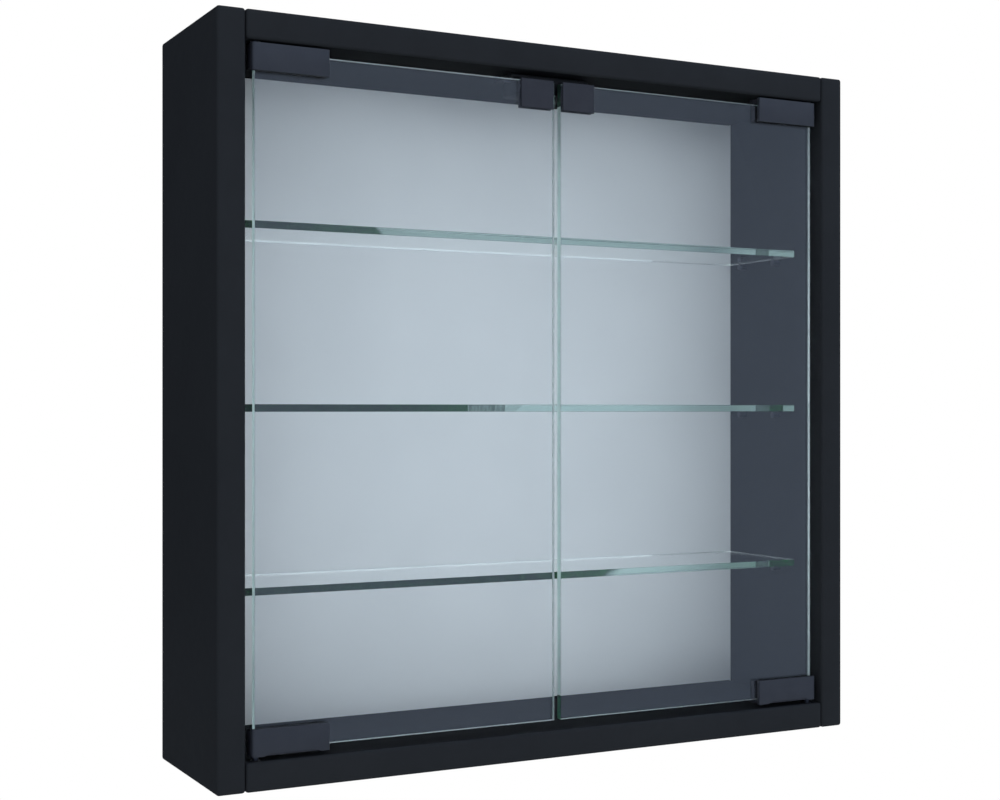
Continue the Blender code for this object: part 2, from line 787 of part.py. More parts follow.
def latch_screw(side, sign):
    """A countersunk wood screw through the latch's flange, its head downwards."""
    head = LATCH_FLANGE_THICKNESS + GAP + LATCH_SCREW_HEAD
    profile = [
        (0.0, head),
        (LATCH_SCREW_HEAD_R - 0.0006, head),
        (LATCH_SCREW_HEAD_R, head - 0.0008),
        (LATCH_SCREW_HEAD_R, head - LATCH_SCREW_HEAD),
        (LATCH_SCREW_R, head - LATCH_SCREW_HEAD),
        (LATCH_SCREW_R, head - LATCH_SCREW_LENGTH),
        (0.0, head - LATCH_SCREW_LENGTH),
    ]
    x, y = sign * (LATCH_HALF + LATCH_FLANGE / 2), latch_middle_y()
    screw = turned(profile, 12, (x, y, Z_CEILING - GAP), (0, 0, -1))
    shade(screw)
    return finish(screw, f"latch_screw_{side}", "dark_steel")


# ---- Wall hangers ----
def hanger_plate(side, sign):
    """A plate with a keyhole: a wall screw's head goes in at the round end and slides up the slot."""
    half_width, half_height, bend = HANGER_WIDTH / 2, HANGER_HEIGHT / 2, HANGER_CORNER_R
    outer = []
    for x, y, start in ((1, 1, 0), (-1, 1, 90), (-1, -1, 180), (1, -1, 270)):
        centre = (x * (half_width - bend), y * (half_height - bend))
        outer += arc(centre, bend, start, start + 90, 3)
    flare = math.degrees(math.acos(KEYHOLE_SLOT_R / KEYHOLE_R))
    keyhole = [
        *arc((0.0, KEYHOLE_REACH), KEYHOLE_SLOT_R, 0, 180, 6),
        *arc((0.0, -KEYHOLE_REACH), KEYHOLE_R, 180 - flare, 360 + flare, 12),
    ]
    holes = [
        arc((0.0, y), HANGER_HOLE_R, 0, 330, 11) for y in (HANGER_HOLE_REACH, -HANGER_HOLE_REACH)
    ]
    hanger = plate([outer, keyhole, *holes], 0.0, HANGER_THICKNESS)
    hanger.data.transform(Matrix.Rotation(math.radians(90), 4, "X"))
    hanger.location = (sign * HANGER_X, 0.0, HANGER_Z)
    shade(hanger)
    return finish(hanger, f"hanger_plate_{side}", "bright_steel")


# ---- Assembly ----
def build():
    cross_board("top")
    cross_board("bottom")
    back_panel()
    corner_splines()
    shelves()
    shelf_pins()
    latch_body()
    axes = {}
    for side, sign in SIDES.items():
        side_panel(side, sign)
        hanger_plate(side, sign)
        latch_plunger(side, sign)
        latch_screw(side, sign)
        axes[side] = door_axis(side, sign)
        hang_on(door_glass(side, sign), axes[side])
        hang_on(strike_clip(side, sign), axes[side])
    for side, name, piece in hinge_pieces():
        if name != "bush":
            hang_on(piece, axes[side])
    for piece in CUTTERS.objects:
        piece.hide_set(True)


build()
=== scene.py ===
"""Looks, studio and camera for a wall-hung display cabinet with two glass doors.

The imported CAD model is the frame, and every place here comes from its boxes. Metres, +Z up, the doors
face -Y and the wall is the plane Y = 0.
"""

import json
import math

import bmesh
import bpy
from mathutils import Matrix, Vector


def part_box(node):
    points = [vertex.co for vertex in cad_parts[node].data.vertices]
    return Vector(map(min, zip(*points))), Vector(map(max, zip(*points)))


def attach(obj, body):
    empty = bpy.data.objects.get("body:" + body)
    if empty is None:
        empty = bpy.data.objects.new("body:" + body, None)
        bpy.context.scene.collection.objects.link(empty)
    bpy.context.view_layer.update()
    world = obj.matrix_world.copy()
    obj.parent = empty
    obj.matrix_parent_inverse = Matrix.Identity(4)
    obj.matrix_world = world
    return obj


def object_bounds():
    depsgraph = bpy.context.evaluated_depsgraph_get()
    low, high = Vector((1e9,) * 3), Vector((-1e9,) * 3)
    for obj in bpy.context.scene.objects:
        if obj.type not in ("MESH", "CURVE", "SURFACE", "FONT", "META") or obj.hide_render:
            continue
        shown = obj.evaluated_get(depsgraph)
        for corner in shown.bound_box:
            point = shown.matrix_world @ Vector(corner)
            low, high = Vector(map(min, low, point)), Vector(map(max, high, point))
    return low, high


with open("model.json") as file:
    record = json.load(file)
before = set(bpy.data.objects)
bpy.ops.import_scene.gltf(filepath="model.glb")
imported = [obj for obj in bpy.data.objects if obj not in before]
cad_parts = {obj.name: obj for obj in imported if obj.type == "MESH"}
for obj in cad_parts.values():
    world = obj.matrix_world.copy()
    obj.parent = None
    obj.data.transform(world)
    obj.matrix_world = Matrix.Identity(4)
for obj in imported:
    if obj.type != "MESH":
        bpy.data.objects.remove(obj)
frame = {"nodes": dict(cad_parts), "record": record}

CAD_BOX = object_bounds()
LOW = CAD_BOX[0]
NODES = frame["nodes"]
SLOT_OF = {row["node"]: row["material_slot"] for row in frame["record"]["subparts"]}

# ---- Camera and studio ----
CAMERA_LEFT_OF_CABINET = 0.3779
CAMERA_BEFORE_CABINET = 1.1817
CAMERA_ABOVE_BOTTOM = 0.2930
CAMERA_YAW = 27.674  # degrees, turned right from straight at the wall
CAMERA_LENS = 58.168  # mm on a 36 mm sensor
CAMERA_SHIFT_UP = 0.00986

FLOOR_BELOW_CABINET = 1.45  # the height such a cabinet hangs at
FLOOR_RADIUS = 3.0
BACKDROP = (1.0, 1.0, 1.0)
LIGHT_FRONT = (0.61, 0.66, 0.70)  # the soft light on matt surfaces, where the doors face
LIGHT_REAR = (0.36, 0.385, 0.415)
LIGHT_LEVEL = 3.9  # how much stronger it is from the front at a level slope
LEVEL_REACH = 0.24  # the slope where that ends
GLOSS_FRONT = (0.41, 0.51, 0.70)  # the dimmer room that glass and gloss mirror
GLOSS_REAR = (0.035, 0.036, 0.036)
LIGHT_GUIDED = (1.56, 1.76, 1.88)  # the lamps' light that runs inside a pane and leaves at its edges
LIGHT_TURN = 0.35  # how far round the sides the front fades into the rear
LIGHT_BELOW, LIGHT_ABOVE = 0.92, 1.12  # strength towards the floor and the ceiling
GLOSS_OVERHEAD = 1.7  # what the ceiling adds in gloss


def link_object(name, data):
    made = bpy.data.objects.new(name, data)
    bpy.context.scene.collection.objects.link(made)
    return made


def make_camera():
    data = bpy.data.cameras.new("camera")
    data.lens = CAMERA_LENS
    data.sensor_width = 36.0
    data.shift_y = CAMERA_SHIFT_UP
    camera = link_object("camera", data)
    camera.location = (
        LOW.x - CAMERA_LEFT_OF_CABINET,
        LOW.y - CAMERA_BEFORE_CABINET,
        LOW.z + CAMERA_ABOVE_BOTTOM,
    )
    camera.rotation_euler = (math.radians(90), 0.0, -math.radians(CAMERA_YAW))
    bpy.context.scene.camera = camera


def make_world():
    """White behind the cabinet, soft light on what is matt, a dimmer room in what shines."""
    world = bpy.data.worlds.new("studio")
    bpy.context.scene.world = world
    world.use_nodes = True
    tree = Nodes(world.node_tree)
    tree.clear()
    direction = tree.add("ShaderNodeTexCoord").outputs["Generated"]
    split = tree.add("ShaderNodeSeparateXYZ", Vector=direction)
    rear = tree.map_range(split.outputs["Y"], -LIGHT_TURN, LIGHT_TURN, 0.0, 1.0, smooth=True)
    path = tree.add("ShaderNodeLightPath")
    matt = tree.maths("GREATER_THAN", path.outputs["Diffuse Depth"], 0.5)
    guided = tree.maths("GREATER_THAN", path.outputs["Glossy Depth"], 2.5)
    gloss = tree.mix(rear, GLOSS_FRONT, GLOSS_REAR)
    gloss = tree.mix(guided, gloss, tree.mix(rear, LIGHT_GUIDED, LIGHT_REAR))
    colour = tree.mix(matt, gloss, tree.mix(rear, LIGHT_FRONT, LIGHT_REAR))
    slope = tree.map_range(split.outputs["Z"], -1.0, 1.0, LIGHT_BELOW, LIGHT_ABOVE)
    forward = tree.maths("MAXIMUM", tree.maths("MULTIPLY", split.outputs["Y"], -1.0), 0.0)
    tilt = tree.maths("ABSOLUTE", split.outputs["Z"])
    band = tree.map_range(tilt, 0.0, LEVEL_REACH, LIGHT_LEVEL, 0.0, smooth=True)
    band = tree.maths("MULTIPLY", matt, tree.maths("MULTIPLY", band, forward))
    overhead = tree.map_range(split.outputs["Z"], 0.2, 1.0, 0.0, GLOSS_OVERHEAD)
    overhead = tree.maths("MULTIPLY", tree.maths("SUBTRACT", 1.0, matt), overhead)
    strength = tree.maths("ADD", slope, tree.maths("ADD", band, overhead))
    light = tree.add("ShaderNodeBackground", Color=colour, Strength=strength)
    backdrop = tree.add("ShaderNodeBackground", Color=(*BACKDROP, 1.0))
    both = tree.add("ShaderNodeMixShader", Fac=tree.seen_straight())
    tree.link(light.outputs[0], both.inputs[1])
    tree.link(backdrop.outputs[0], both.inputs[2])
    out = tree.add("ShaderNodeOutputWorld")
    tree.link(both.outputs[0], out.inputs["Surface"])
    world.cycles.sampling_method = "NONE"  # the light comes through glass, bent on its way


def make_floor():
    form = bmesh.new()
    bmesh.ops.create_circle(form, cap_ends=True, radius=FLOOR_RADIUS, segments=96)
    data = bpy.data.meshes.new("floor")
    form.to_mesh(data)
    form.free()
    floor = link_object("floor", data)
    floor.location = (0.0, 0.0, LOW.z - FLOOR_BELOW_CABINET)
    paper = bpy.data.materials.new("pale_floor")
    paper.use_nodes = True
    tree = Nodes(paper.node_tree)
    tree.clear()
    matt = tree.add("ShaderNodeBsdfDiffuse", Color=(0.80, 0.81, 0.82, 1.0))
    glow = tree.add("ShaderNodeEmission", Color=(*BACKDROP, 1.0))
    both = tree.add("ShaderNodeMixShader", Fac=tree.seen_straight())
    tree.link(matt.outputs[0], both.inputs[1])
    tree.link(glow.outputs[0], both.inputs[2])
    out = tree.add("ShaderNodeOutputMaterial")
    tree.link(both.outputs[0], out.inputs["Surface"])
    paper.cycles.emission_sampling = "NONE"  # the glow is for the eye and lights nothing
    data.materials.append(paper)


def set_rendering():
    scene = bpy.context.scene
    scene.view_settings.view_transform = "Standard"
    scene.view_settings.look = "None"
    # light runs along a pane of glass by dozens of inner reflections
    scene.cycles.max_bounces = 64
    scene.cycles.glossy_bounces = 64
    scene.cycles.transmission_bounces = 64
    scene.cycles.diffuse_bounces = 6
    scene.cycles.blur_glossy = 0.0


# ---- Node helpers ----
class Nodes:
    """A node tree with short ways to add nodes, set their inputs and link them."""

    def __init__(self, tree):
        self.tree = tree

    def clear(self):
        self.tree.nodes.clear()

    def link(self, source, target):
        self.tree.links.new(source, target)

    def add(self, kind, **inputs):
        """Adds a node. Each input is a number, a colour or another node's output."""
        node = self.tree.nodes.new(kind)
        for name, value in inputs.items():
            socket = node.inputs[name.replace("_", " ")]
            if isinstance(value, bpy.types.NodeSocket):
                self.link(value, socket)
            else:
                socket.default_value = value
        return node

    def place(self):
        return self.add("ShaderNodeTexCoord").outputs["Object"]

    def seen_straight(self):
        """1 for what is seen with no mirroring on the way, with or without glass in between."""
        path = self.add("ShaderNodeLightPath")
        turns = self.maths("ADD", path.outputs["Glossy Depth"], path.outputs["Diffuse Depth"])
        return self.maths("LESS_THAN", turns, 0.5)

    def noise(self, scale, detail=3.0, roughness=0.5, place=None, distortion=0.0):
        node = self.add(
            "ShaderNodeTexNoise", Scale=scale, Detail=detail, Roughness=roughness, Distortion=distortion
        )
        self.link(place or self.place(), node.inputs["Vector"])
        return node.outputs["Fac"]

    def stretched(self, scale):
        """Object coordinates scaled along each axis."""
        node = self.add("ShaderNodeMapping", Vector=self.place(), Scale=scale)
        return node.outputs["Vector"]

    def map_range(self, value, from_min, from_max, to_min, to_max, smooth=False):
        node = self.tree.nodes.new("ShaderNodeMapRange")
        node.interpolation_type = "SMOOTHSTEP" if smooth else "LINEAR"
        self.link(value, node.inputs["Value"])
        limits = (from_min, from_max, to_min, to_max)
        for name, limit in zip(("From Min", "From Max", "To Min", "To Max"), limits):
            node.inputs[name].default_value = limit
        return node.outputs["Result"]

    def mix(self, factor, first, second, blend="MIX"):
        node = self.tree.nodes.new("ShaderNodeMix")
        node.data_type = "RGBA"
        node.blend_type = blend
        sockets = {"Factor_Float": factor, "A_Color": first, "B_Color": second}
        for socket in node.inputs:
            value = sockets.get(socket.identifier)
            if value is None:
                continue
            if isinstance(value, bpy.types.NodeSocket):
                self.link(value, socket)
            elif isinstance(value, tuple):
                socket.default_value = (*value[:3], 1.0)
            else:
                socket.default_value = value
        return next(s for s in node.outputs if s.identifier == "Result_Color")

    def maths(self, operation, first, second=0.0, clamp=False):
        node = self.tree.nodes.new("ShaderNodeMath")
        node.operation = operation
        node.use_clamp = clamp
        for socket, value in zip(node.inputs, (first, second)):
            if isinstance(value, bpy.types.NodeSocket):
                self.link(value, socket)
            else:
                socket.default_value = value
        return node.outputs[0]

    def bump(self, height, strength, distance, normal=None):
        node = self.add("ShaderNodeBump", Height=height, Strength=strength, Distance=distance)
        if normal is not None:
            self.link(normal, node.inputs["Normal"])
        return node.outputs["Normal"]


def principled(name, **inputs):
    """A material with a Principled shader. Returns the material, its Nodes and the shader."""
    made = bpy.data.materials.new(name)
    made.use_nodes = True
    shader = made.node_tree.nodes["Principled BSDF"]
    for key, value in inputs.items():
        shader.inputs[key.replace("_", " ")].default_value = value
    return made, Nodes(made.node_tree), shader


# ---- Materials ----
def board_foil():
    """Matt anthracite foil: a fine orange peel, a faint cloudiness, sparse pale specks, and painted
    shade that makes its level faces near black.
    """
    made, tree, shader = principled("anthracite_foil")
    shader.inputs["Specular IOR Level"].default_value = 0.22
    cloud = tree.noise(7.0, detail=4.0)
    tone = tree.map_range(cloud, 0.3, 0.7, 0.0, 1.0, smooth=True)
    colour = tree.mix(tone, (0.0110, 0.0121, 0.0142), (0.0126, 0.0138, 0.0160))
    specks = tree.map_range(tree.noise(2600.0, detail=1.0), 0.66, 0.76, 0.0, 0.08)
    colour = tree.mix(specks, colour, (0.030, 0.033, 0.040))
    # painted shade: the top and bottom faces are made near black, and rougher
    level_shade_mask = level_faces(tree, 0.97, 0.995)
    tree.link(tree.mix(level_shade_mask, colour, (0.0005, 0.0006, 0.0008)), shader.inputs["Base Color"])
    sheen = tree.map_range(tree.noise(42.0, detail=5.0, roughness=0.6), 0.3, 0.7, 0.74, 0.84)
    dull = tree.maths("ADD", sheen, tree.maths("MULTIPLY", level_shade_mask, 0.25), clamp=True)
    tree.link(dull, shader.inputs["Roughness"])
    peel = tree.bump(tree.noise(900.0, detail=2.0), 0.03, 0.0002)
    tree.link(tree.bump(tree.noise(55.0, detail=2.0), 0.05, 0.0010, peel), shader.inputs["Normal"])
    return made


def back_board():
    """Hardboard with a pale grey lacquer on its front and its raw brown fibres behind."""
    made, tree, shader = principled("lacquered_hardboard")
    shader.inputs["Specular IOR Level"].default_value = 0.35
    cloud = tree.map_range(tree.noise(9.0, detail=4.0), 0.3, 0.7, 0.0, 1.0, smooth=True)
    lacquer = tree.mix(cloud, (0.70, 0.735, 0.76), (0.73, 0.765, 0.79))
    fibres = tree.noise(1.0, detail=8.0, roughness=0.7, place=tree.stretched((260.0, 260.0, 90.0)))
    raw = tree.mix(tree.map_range(fibres, 0.3, 0.7, 0.0, 1.0), (0.17, 0.105, 0.058), (0.29, 0.19, 0.11))
    facing = tree.add("ShaderNodeNewGeometry").outputs["True Normal"]
    behind = tree.add("ShaderNodeSeparateXYZ", Vector=facing).outputs["Y"]
    rear = tree.map_range(behind, 0.4, 0.6, 0.0, 1.0)
    tree.link(tree.mix(rear, lacquer, raw), shader.inputs["Base Color"])
    grain = tree.map_range(tree.noise(30.0, detail=4.0), 0.3, 0.7, 0.50, 0.62)
    tree.link(grain, shader.inputs["Roughness"])
    tree.link(tree.bump(tree.noise(620.0, detail=3.0), 0.12, 0.0003), shader.inputs["Normal"])
    return made


DOOR_EDGE_ROUGHNESS = 0.45
# painted shade on the glass arrises, dimming the light lines along them
ARRIS_PAINTED_SHADE = (0.30, 0.34, 0.36)
DOOR_TINT, DOOR_DENSITY = (0.05, 0.42, 0.36), 2.2
SHELF_TINT, SHELF_DENSITY = (0.20, 0.62, 0.50), 2.9
# the colour of the painted shade on the shelves' front edges
SHELF_PAINTED_SHADE = (0.0001, 0.0230, 0.0006)
# the colour of the painted shade on the doors' meeting edges near their ends
MEETING_PAINTED_SHADE = (0.0015, 0.0140, 0.0062)
MEETING_LIGHT = (-0.5387, -0.0403)  # the heights between which the doors' meeting edges have no painted shade
MEETING_SOFT = 0.0004  # over which their painted shade fades in
MEETING_REACH = 0.02  # either side of the cabinet's middle
FRONT_REACH = 0.0003  # how deep a shelf's front painted shade goes
SHELF_SHADES = {  # where painted shade lies on a shelf's front edge: from x, to x, softness, lean, mottling, depth
    "upper": (
        (-0.3000, -0.1480, 0.0035, 0.9, 0.012, 1.00),
        (-0.3000, 0.2310, 0.0035, 0.0, 0.05, 0.34),
        (0.1500, 0.2310, 0.0600, 0.0, 0.05, 0.68),
        (0.2310, 0.2466, 0.0004, 0.0, 0.02, 0.97),
    ),
    "middle": (
        (-0.3000, -0.0678, 0.0004, 0.0, 0.000, 1.00),
        (-0.0678, -0.0324, 0.0006, 0.0, 0.20, 0.93),
        (-0.0324, -0.0188, 0.0003, -1.4, 0.10, 0.30),
        (0.1500, 0.2310, 0.0600, 0.0, 0.05, 0.43),
        (0.2310, 0.2466, 0.0004, 0.0, 0.02, 0.97),
        (0.2466, 0.2630, 0.0003, 0.0, 0.00, 1.00),
    ),
    "lower": (
        (-0.3000, 0.0760, 0.0090, -1.8, 0.004, 1.00),
        (0.1500, 0.2310, 0.0600, 0.0, 0.05, 0.20),
        (0.2310, 0.2460, 0.0008, 0.0, 0.02, 0.97),
        (0.2460, 0.3000, 0.0012, 0.0, 0.00, 1.00),
    ),
}


def edge_shade(tree, middle, shades):
    """How deep the painted shade on a shelf's front edge is along x, from 0 to 1."""
    place = tree.add("ShaderNodeSeparateXYZ", Vector=tree.place())
    rise = tree.maths("SUBTRACT", place.outputs["Z"], middle)
    stripes = tree.noise(1.0, detail=3.0, roughness=0.6, place=tree.stretched((420.0, 1.0, 60.0)))
    deepest = 0.0
    for start, end, soft, lean, mottling, depth in shades:
        along = tree.maths("ADD", place.outputs["X"], tree.maths("MULTIPLY", rise, lean))
        on = tree.map_range(along, start - soft, start + soft, 0.0, depth, smooth=True)
        off = tree.map_range(along, end - soft, end + soft, 1.0, 0.0, smooth=True)
        patchy = tree.map_range(stripes, 0.38, 0.62, 1.0 - mottling, 1.0)
        deepest = tree.maths(
            "MAXIMUM", tree.maths("MULTIPLY", tree.maths("MULTIPLY", on, off), patchy), deepest
        )
    return deepest


def end_shade(tree):
    """Where the doors' meeting edges carry painted shade, near their ends, from 0 to 1."""
    place = tree.add("ShaderNodeSeparateXYZ", Vector=tree.place())
    foot, head = MEETING_LIGHT
    meeting = tree.maths("LESS_THAN", tree.maths("ABSOLUTE", place.outputs["X"]), MEETING_REACH)
    below = tree.map_range(place.outputs["Z"], foot - MEETING_SOFT, foot, 1.0, 0.0)
    above = tree.map_range(place.outputs["Z"], head, head + MEETING_SOFT, 0.0, 1.0)
    return tree.maths("MULTIPLY", meeting, tree.maths("MAXIMUM", below, above))


def clear_glass(name, tint, density, edge_roughness=0.0, front=0.0, middle=0.0, shades=()):
    """Float glass: green with depth, a few wiped smudges, and painted shade on its arrises and, in
    places, on its edges.
    """
    made, tree, shader = principled(name)
    shader.inputs["Base Color"].default_value = (1.0, 1.0, 1.0, 1.0)
    shader.inputs["Transmission Weight"].default_value = 1.0
    shader.inputs["IOR"].default_value = 1.52
    facing = tree.add("ShaderNodeNewGeometry").outputs["True Normal"]
    own = tree.add("ShaderNodeVectorTransform", Vector=facing)  # so that it turns with its door
    own.vector_type = "NORMAL"
    own.convert_from, own.convert_to = "WORLD", "OBJECT"
    normal = tree.add("ShaderNodeSeparateXYZ", Vector=own.outputs["Vector"])
    smear = tree.noise(3.2, detail=6.0, roughness=0.62, distortion=1.4)
    smudge = tree.map_range(smear, 0.62, 0.80, 0.0, 0.030, smooth=True)
    edge = tree.maths("LESS_THAN", tree.maths("ABSOLUTE", normal.outputs["Y"]), 0.5)
    ground = tree.maths("MULTIPLY", edge, edge_roughness)
    tree.link(tree.maths("MAXIMUM", smudge, ground), shader.inputs["Roughness"])
    # painted shade along a shelf's front edge, placed by position
    if shades:
        place = tree.add("ShaderNodeSeparateXYZ", Vector=tree.place())
        at_front = tree.maths("LESS_THAN", place.outputs["Y"], front + FRONT_REACH)
        shade = tree.maths("MULTIPLY", at_front, edge_shade(tree, middle, shades))
        dark = SHELF_PAINTED_SHADE
    else:
        # painted shade on the doors' meeting edges
        side = tree.maths("GREATER_THAN", tree.maths("ABSOLUTE", normal.outputs["X"]), 0.5)
        shade = tree.maths("MULTIPLY", side, end_shade(tree))
        dark = MEETING_PAINTED_SHADE
    steepest = 0.0
    for axis in "XYZ":
        steepest = tree.maths("MAXIMUM", tree.maths("ABSOLUTE", normal.outputs[axis]), steepest)
    # painted shade: the arrises are made darker
    arris = tree.mix(tree.maths("LESS_THAN", steepest, 0.9), (1.0, 1.0, 1.0), ARRIS_PAINTED_SHADE)
    tree.link(tree.mix(shade, arris, dark), shader.inputs["Base Color"])
    depth = tree.add("ShaderNodeVolumeAbsorption", Color=(*tint, 1.0), Density=density)
    out = next(n for n in tree.tree.nodes if n.type == "OUTPUT_MATERIAL")
    tree.link(depth.outputs["Volume"], out.inputs["Volume"])
    return made


def level_faces(tree, none=0.5, full=0.9):
    """1 on a piece's top and bottom faces, 0 on its upright ones."""
    normal = tree.add("ShaderNodeNewGeometry").outputs["Normal"]
    facing = tree.add("ShaderNodeSeparateXYZ", Vector=normal)
    return tree.map_range(tree.maths("ABSOLUTE", facing.outputs["Z"]), none, full, 0.0, 1.0)


def moulded_plastic(name, dark, light, level, rough, shade_factor=1.0):
    """Fine matt moulded plastic with an even grain. Its level faces can be made darker by a factor, as
    painted shade.
    """
    made, tree, shader = principled(name)
    shader.inputs["Specular IOR Level"].default_value = level
    tone = tree.map_range(tree.noise(60.0, detail=3.0), 0.3, 0.7, 0.0, 1.0, smooth=True)
    level_shade_mask = level_faces(tree)
    colour = tree.mix(tone, dark, light)
    # painted shade: level faces multiplied darker
    shaded = tree.mix(1.0, colour, (shade_factor, shade_factor, shade_factor), blend="MULTIPLY")
    tree.link(tree.mix(level_shade_mask, colour, shaded), shader.inputs["Base Color"])
    patch = tree.map_range(tree.noise(150.0, detail=3.0), 0.3, 0.7, rough - 0.04, rough + 0.04)
    worn = tree.maths("ADD", patch, tree.maths("MULTIPLY", level_shade_mask, (1.0 - shade_factor) * 0.5))
    tree.link(worn, shader.inputs["Roughness"])
    tree.link(tree.bump(tree.noise(2400.0, detail=2.0), 0.14, 0.0002), shader.inputs["Normal"])
    return made


def powder_coat():
    """Satin powder coat: a tight orange peel over metal, with painted shade that makes its level faces
    darker.
    """
    made, tree, shader = principled("anthracite_powder_coat")
    shader.inputs["Specular IOR Level"].default_value = 0.26
    tone = tree.map_range(tree.noise(70.0, detail=3.0), 0.3, 0.7, 0.0, 1.0, smooth=True)
    colour = tree.mix(tone, (0.0215, 0.0225, 0.0310), (0.0255, 0.0265, 0.0355))
    level_shade_mask = level_faces(tree)
    # painted shade: the level faces are made near black
    tree.link(tree.mix(level_shade_mask, colour, (0.004, 0.0045, 0.006)), shader.inputs["Base Color"])
    patch = tree.map_range(tree.noise(120.0, detail=3.0), 0.3, 0.7, 0.50, 0.58)
    dull = tree.maths("ADD", patch, tree.maths("MULTIPLY", level_shade_mask, 0.35))
    tree.link(dull, shader.inputs["Roughness"])
    tree.link(tree.bump(tree.noise(1300.0, detail=2.0), 0.18, 0.0003), shader.inputs["Normal"])
    return made


def soft_rubber():
    made, tree, shader = principled("black_liner")
    dusty = tree.map_range(tree.noise(220.0, detail=5.0), 0.35, 0.75, 0.0, 1.0)
    colour = tree.mix(dusty, (0.010, 0.010, 0.011), (0.021, 0.021, 0.022))
    tree.link(colour, shader.inputs["Base Color"])
    tree.link(tree.map_range(dusty, 0.0, 1.0, 0.72, 0.86), shader.inputs["Roughness"])
    tree.link(tree.bump(tree.noise(1800.0, detail=3.0), 0.25, 0.0002), shader.inputs["Normal"])
    return made


def plated_steel(name, dark, light, rough):
    """Plated or blackened steel with fine drawn lines and a patchy lustre."""
    made, tree, shader = principled(name, Metallic=1.0)
    lines = tree.noise(1.0, detail=6.0, place=tree.stretched((300.0, 300.0, 4200.0)))
    tree.link(
        tree.mix(tree.map_range(lines, 0.3, 0.7, 0.0, 1.0), dark, light), shader.inputs["Base Color"]
    )
    patch = tree.map_range(tree.noise(190.0, detail=4.0), 0.3, 0.7, rough - 0.07, rough + 0.07)
    tree.link(patch, shader.inputs["Roughness"])
    tree.link(tree.bump(lines, 0.12, 0.0002), shader.inputs["Normal"])
    return made


def birch_ply():
    made, tree, shader = principled("raw_birch_ply")
    layers = tree.add("ShaderNodeTexWave", Vector=tree.place(), Scale=340.0)
    layers.bands_direction = "Z"
    grain = tree.noise(1.0, detail=6.0, place=tree.stretched((900.0, 60.0, 900.0)))
    plies = tree.mix(layers.outputs["Fac"], (0.45, 0.30, 0.17), (0.62, 0.46, 0.29))
    streaks = tree.mix(grain, (0.40, 0.26, 0.14), (0.66, 0.50, 0.32))
    tree.link(tree.mix(0.35, plies, streaks), shader.inputs["Base Color"])
    tree.link(tree.map_range(grain, 0.3, 0.7, 0.62, 0.78), shader.inputs["Roughness"])
    tree.link(tree.bump(grain, 0.25, 0.0003), shader.inputs["Normal"])
    return made


def make_finishes():
    return {
        "board_anthracite": board_foil(),
        "back_light": back_board(),
        "glass_clear": clear_glass("clear_float_glass", DOOR_TINT, DOOR_DENSITY, DOOR_EDGE_ROUGHNESS),
        # the last number darkens the caps' level faces: painted shade
        "plastic_anthracite": moulded_plastic(
            "anthracite_plastic", (0.0185, 0.0205, 0.0285), (0.0215, 0.0235, 0.0320), 0.40, 0.42, 0.25
        ),
        "metal_anthracite": powder_coat(),
        "rubber_black": soft_rubber(),
        "steel_bright": plated_steel("zinc_plated_steel", (0.50, 0.50, 0.50), (0.66, 0.66, 0.67), 0.32),
        "steel_dark": plated_steel(
            "blackened_steel", (0.050, 0.052, 0.060), (0.085, 0.088, 0.100), 0.52
        ),
        "nylon_black": moulded_plastic(
            "black_nylon", (0.011, 0.011, 0.012), (0.016, 0.016, 0.018), 0.45, 0.48
        ),
        "plywood": birch_ply(),
    }


# ---- Surfaces of the CAD pieces ----
SMOOTH_BELOW = math.radians(40)
SOFT_EDGES = {  # fine rounding that the CAD leaves out
    "back_light": 0.0003,
    "plastic_anthracite": 0.0003,
    "metal_anthracite": 0.0002,
    "steel_bright": 0.0002,
}


def smooth_group():
    """Geometry nodes that smooth a surface and keep its edges above an angle sharp."""
    group = bpy.data.node_groups.new("smooth_by_angle", "GeometryNodeTree")
    group.interface.new_socket("Geometry", in_out="INPUT", socket_type="NodeSocketGeometry")
    group.interface.new_socket("Geometry", in_out="OUTPUT", socket_type="NodeSocketGeometry")
    tree = Nodes(group)
    start, end = tree.add("NodeGroupInput"), tree.add("NodeGroupOutput")
    plain = tree.add("GeometryNodeRemoveAttribute", Name="custom_normal")
    faces = tree.add("GeometryNodeSetShadeSmooth")
    faces.domain = "FACE"
    edges = tree.add("GeometryNodeSetShadeSmooth")
    edges.domain = "EDGE"
    gentle = tree.add("FunctionNodeCompare")
    gentle.operation = "LESS_THAN"
    gentle.inputs[1].default_value = SMOOTH_BELOW
    tree.link(tree.add("GeometryNodeInputMeshEdgeAngle").outputs["Unsigned Angle"], gentle.inputs[0])
    tree.link(gentle.outputs[0], edges.inputs["Shade Smooth"])
    tree.link(start.outputs[0], plain.inputs["Geometry"])
    tree.link(plain.outputs[0], faces.inputs["Geometry"])
    tree.link(faces.outputs[0], edges.inputs["Geometry"])
    tree.link(edges.outputs[0], end.inputs[0])
    return group


def refine(piece, group, rounding=0.0):
    """Joins a CAD mesh's loose triangles into clean faces, rounds its edges a little and smooths it."""
    weld = piece.modifiers.new("weld", "WELD")
    weld.merge_threshold = 0.00001
    flat = piece.modifiers.new("flat_faces", "DECIMATE")
    flat.decimate_type = "DISSOLVE"
    flat.angle_limit = math.radians(0.5)
    if rounding:
        bevel = piece.modifiers.new("soft_edges", "BEVEL")
        bevel.width = rounding
        bevel.segments = 3
        bevel.limit_method = "ANGLE"
        bevel.angle_limit = SMOOTH_BELOW
    piece.modifiers.new("smooth", "NODES").node_group = group


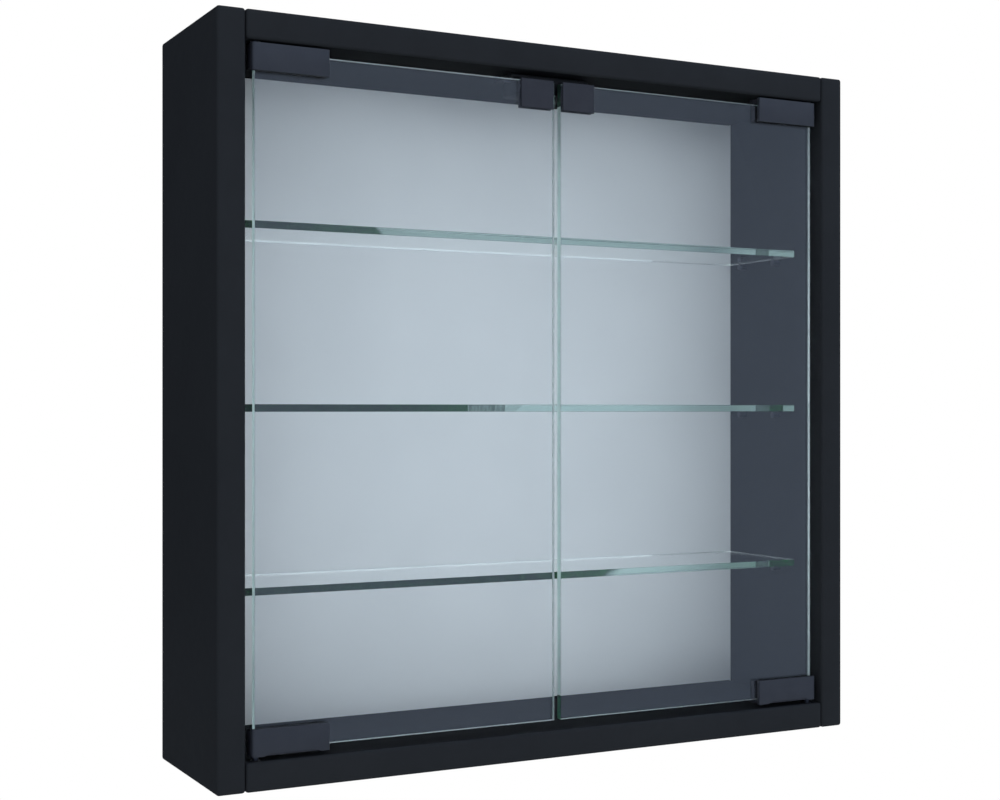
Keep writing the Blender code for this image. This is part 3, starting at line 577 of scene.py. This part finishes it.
def dress_cad_nodes(finishes):
    group = smooth_group()
    for name, slot in SLOT_OF.items():
        NODES[name].material_slots[0].material = finishes[slot]
        refine(NODES[name], group, SOFT_EDGES.get(slot, 0.0))
    # painted shade: the latch body gets a darker tone of its plastic, and darker level faces, for the
    # shade it sits in
    NODES["latch_body"].material_slots[0].material = moulded_plastic(
        "shaded_latch_plastic", (0.0075, 0.0085, 0.0110), (0.0095, 0.0105, 0.0130), 0.25, 0.55, 0.5
    )


def dress_shelves():
    for level, shades in SHELF_SHADES.items():
        low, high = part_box(f"glass_shelf_{level}")
        middle = (low.z + high.z) / 2
        glass = clear_glass(
            f"shelf_glass_{level}", SHELF_TINT, SHELF_DENSITY, 0.0, low.y, middle, shades
        )
        NODES[f"glass_shelf_{level}"].material_slots[0].material = glass


# ---- Pieces of the scene's own ----
HANGER_SCREW_HEAD = 0.0031  # radius
HANGER_SCREW_SHANK = 0.0014
HANGER_SCREW_LENGTH = 0.011
HANGER_SCREW_REACH = 0.0195  # of a plate's two screws from its middle
HANGER_SCREW_DRIVE = (0.0034, 0.0012, 0.001)  # the cutter's size, its depth and how far it stands out
HANGER_SCREW_TURN = {"high": 20, "low": 65}  # degrees, as a hand leaves them


def turned(profile, sides):
    """A closed mesh turned round Z from (radius, height) points, top to bottom."""
    form = bmesh.new()
    rings = []
    for radius, height in profile:
        if radius == 0.0:
            rings.append([form.verts.new((0.0, 0.0, height))])
            continue
        turns = [2 * math.pi * i / sides for i in range(sides)]
        rings.append(
            [form.verts.new((radius * math.cos(a), radius * math.sin(a), height)) for a in turns]
        )
    for upper, lower in zip(rings, rings[1:]):
        for i in range(sides):
            j = (i + 1) % sides
            corners = [upper[i % len(upper)], lower[i % len(lower)]]
            corners += [lower[j % len(lower)], upper[j % len(upper)]]
            form.faces.new(dict.fromkeys(corners))
    bmesh.ops.recalc_face_normals(form, faces=form.faces)
    return form


def mesh_object(name, form, material):
    data = bpy.data.meshes.new(name)
    form.to_mesh(data)
    form.free()
    data.materials.append(material)
    return link_object(name, data)


def cross_recess(size, depth, mouth):
    """A tapered cross, as a cutter for a screw's drive."""
    form = bmesh.new()
    for turn in (0, 90):
        made = bmesh.ops.create_cube(form, size=1.0)["verts"]
        shape = Matrix.Rotation(math.radians(turn), 4, "Z") @ Matrix.Diagonal((size, size / 3.4, 1, 1))
        bmesh.ops.transform(form, matrix=shape, verts=made)
    for vert in form.verts:
        taper = 1.0 if vert.co.z > 0 else 0.35
        vert.co = (vert.co.x * taper, vert.co.y * taper, mouth if vert.co.z > 0 else -depth)
    return form


def hanger_screws(finishes):
    """Countersunk screws that hold the keyhole plates, with a cross recess in their heads."""
    head, shank = HANGER_SCREW_HEAD, HANGER_SCREW_SHANK
    profile = [
        (0.0, 0.0),
        (head * 0.86, 0.0),
        (head, -0.0002),
        (shank, -0.0018),
        (shank, -HANGER_SCREW_LENGTH + 0.003),
        (0.0, -HANGER_SCREW_LENGTH),
    ]
    for side in ("left", "right"):
        low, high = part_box(f"hanger_plate_{side}")
        middle = (low + high) / 2
        for place, reach in (("high", HANGER_SCREW_REACH), ("low", -HANGER_SCREW_REACH)):
            steel = finishes["steel_bright"]
            screw = mesh_object(f"hanger_screw_{side}_{place}", turned(profile, 24), steel)
            drive = mesh_object(f"cut_drive_{side}_{place}", cross_recess(*HANGER_SCREW_DRIVE), None)
            seat = Matrix.Translation((middle.x, high.y, middle.z + reach))
            to_wall = Matrix.Rotation(math.radians(-90), 4, "X")
            turn = Matrix.Rotation(math.radians(HANGER_SCREW_TURN[place]), 4, "Z")
            for piece in (screw, drive):
                piece.matrix_world = seat @ to_wall @ turn
            drive.hide_render = True
            cut = screw.modifiers.new("drive", "BOOLEAN")
            cut.object = drive
            cut.use_self = True  # the two bars of the cross pass through each other
            screw.modifiers.new("smooth", "NODES").node_group = bpy.data.node_groups["smooth_by_angle"]
            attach(screw, "carcass")
            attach(drive, "carcass")


# ---- Making the scene ----
make_camera()
make_world()
make_floor()
set_rendering()
FINISHES = make_finishes()
dress_cad_nodes(FINISHES)
dress_shelves()
hanger_screws(FINISHES)
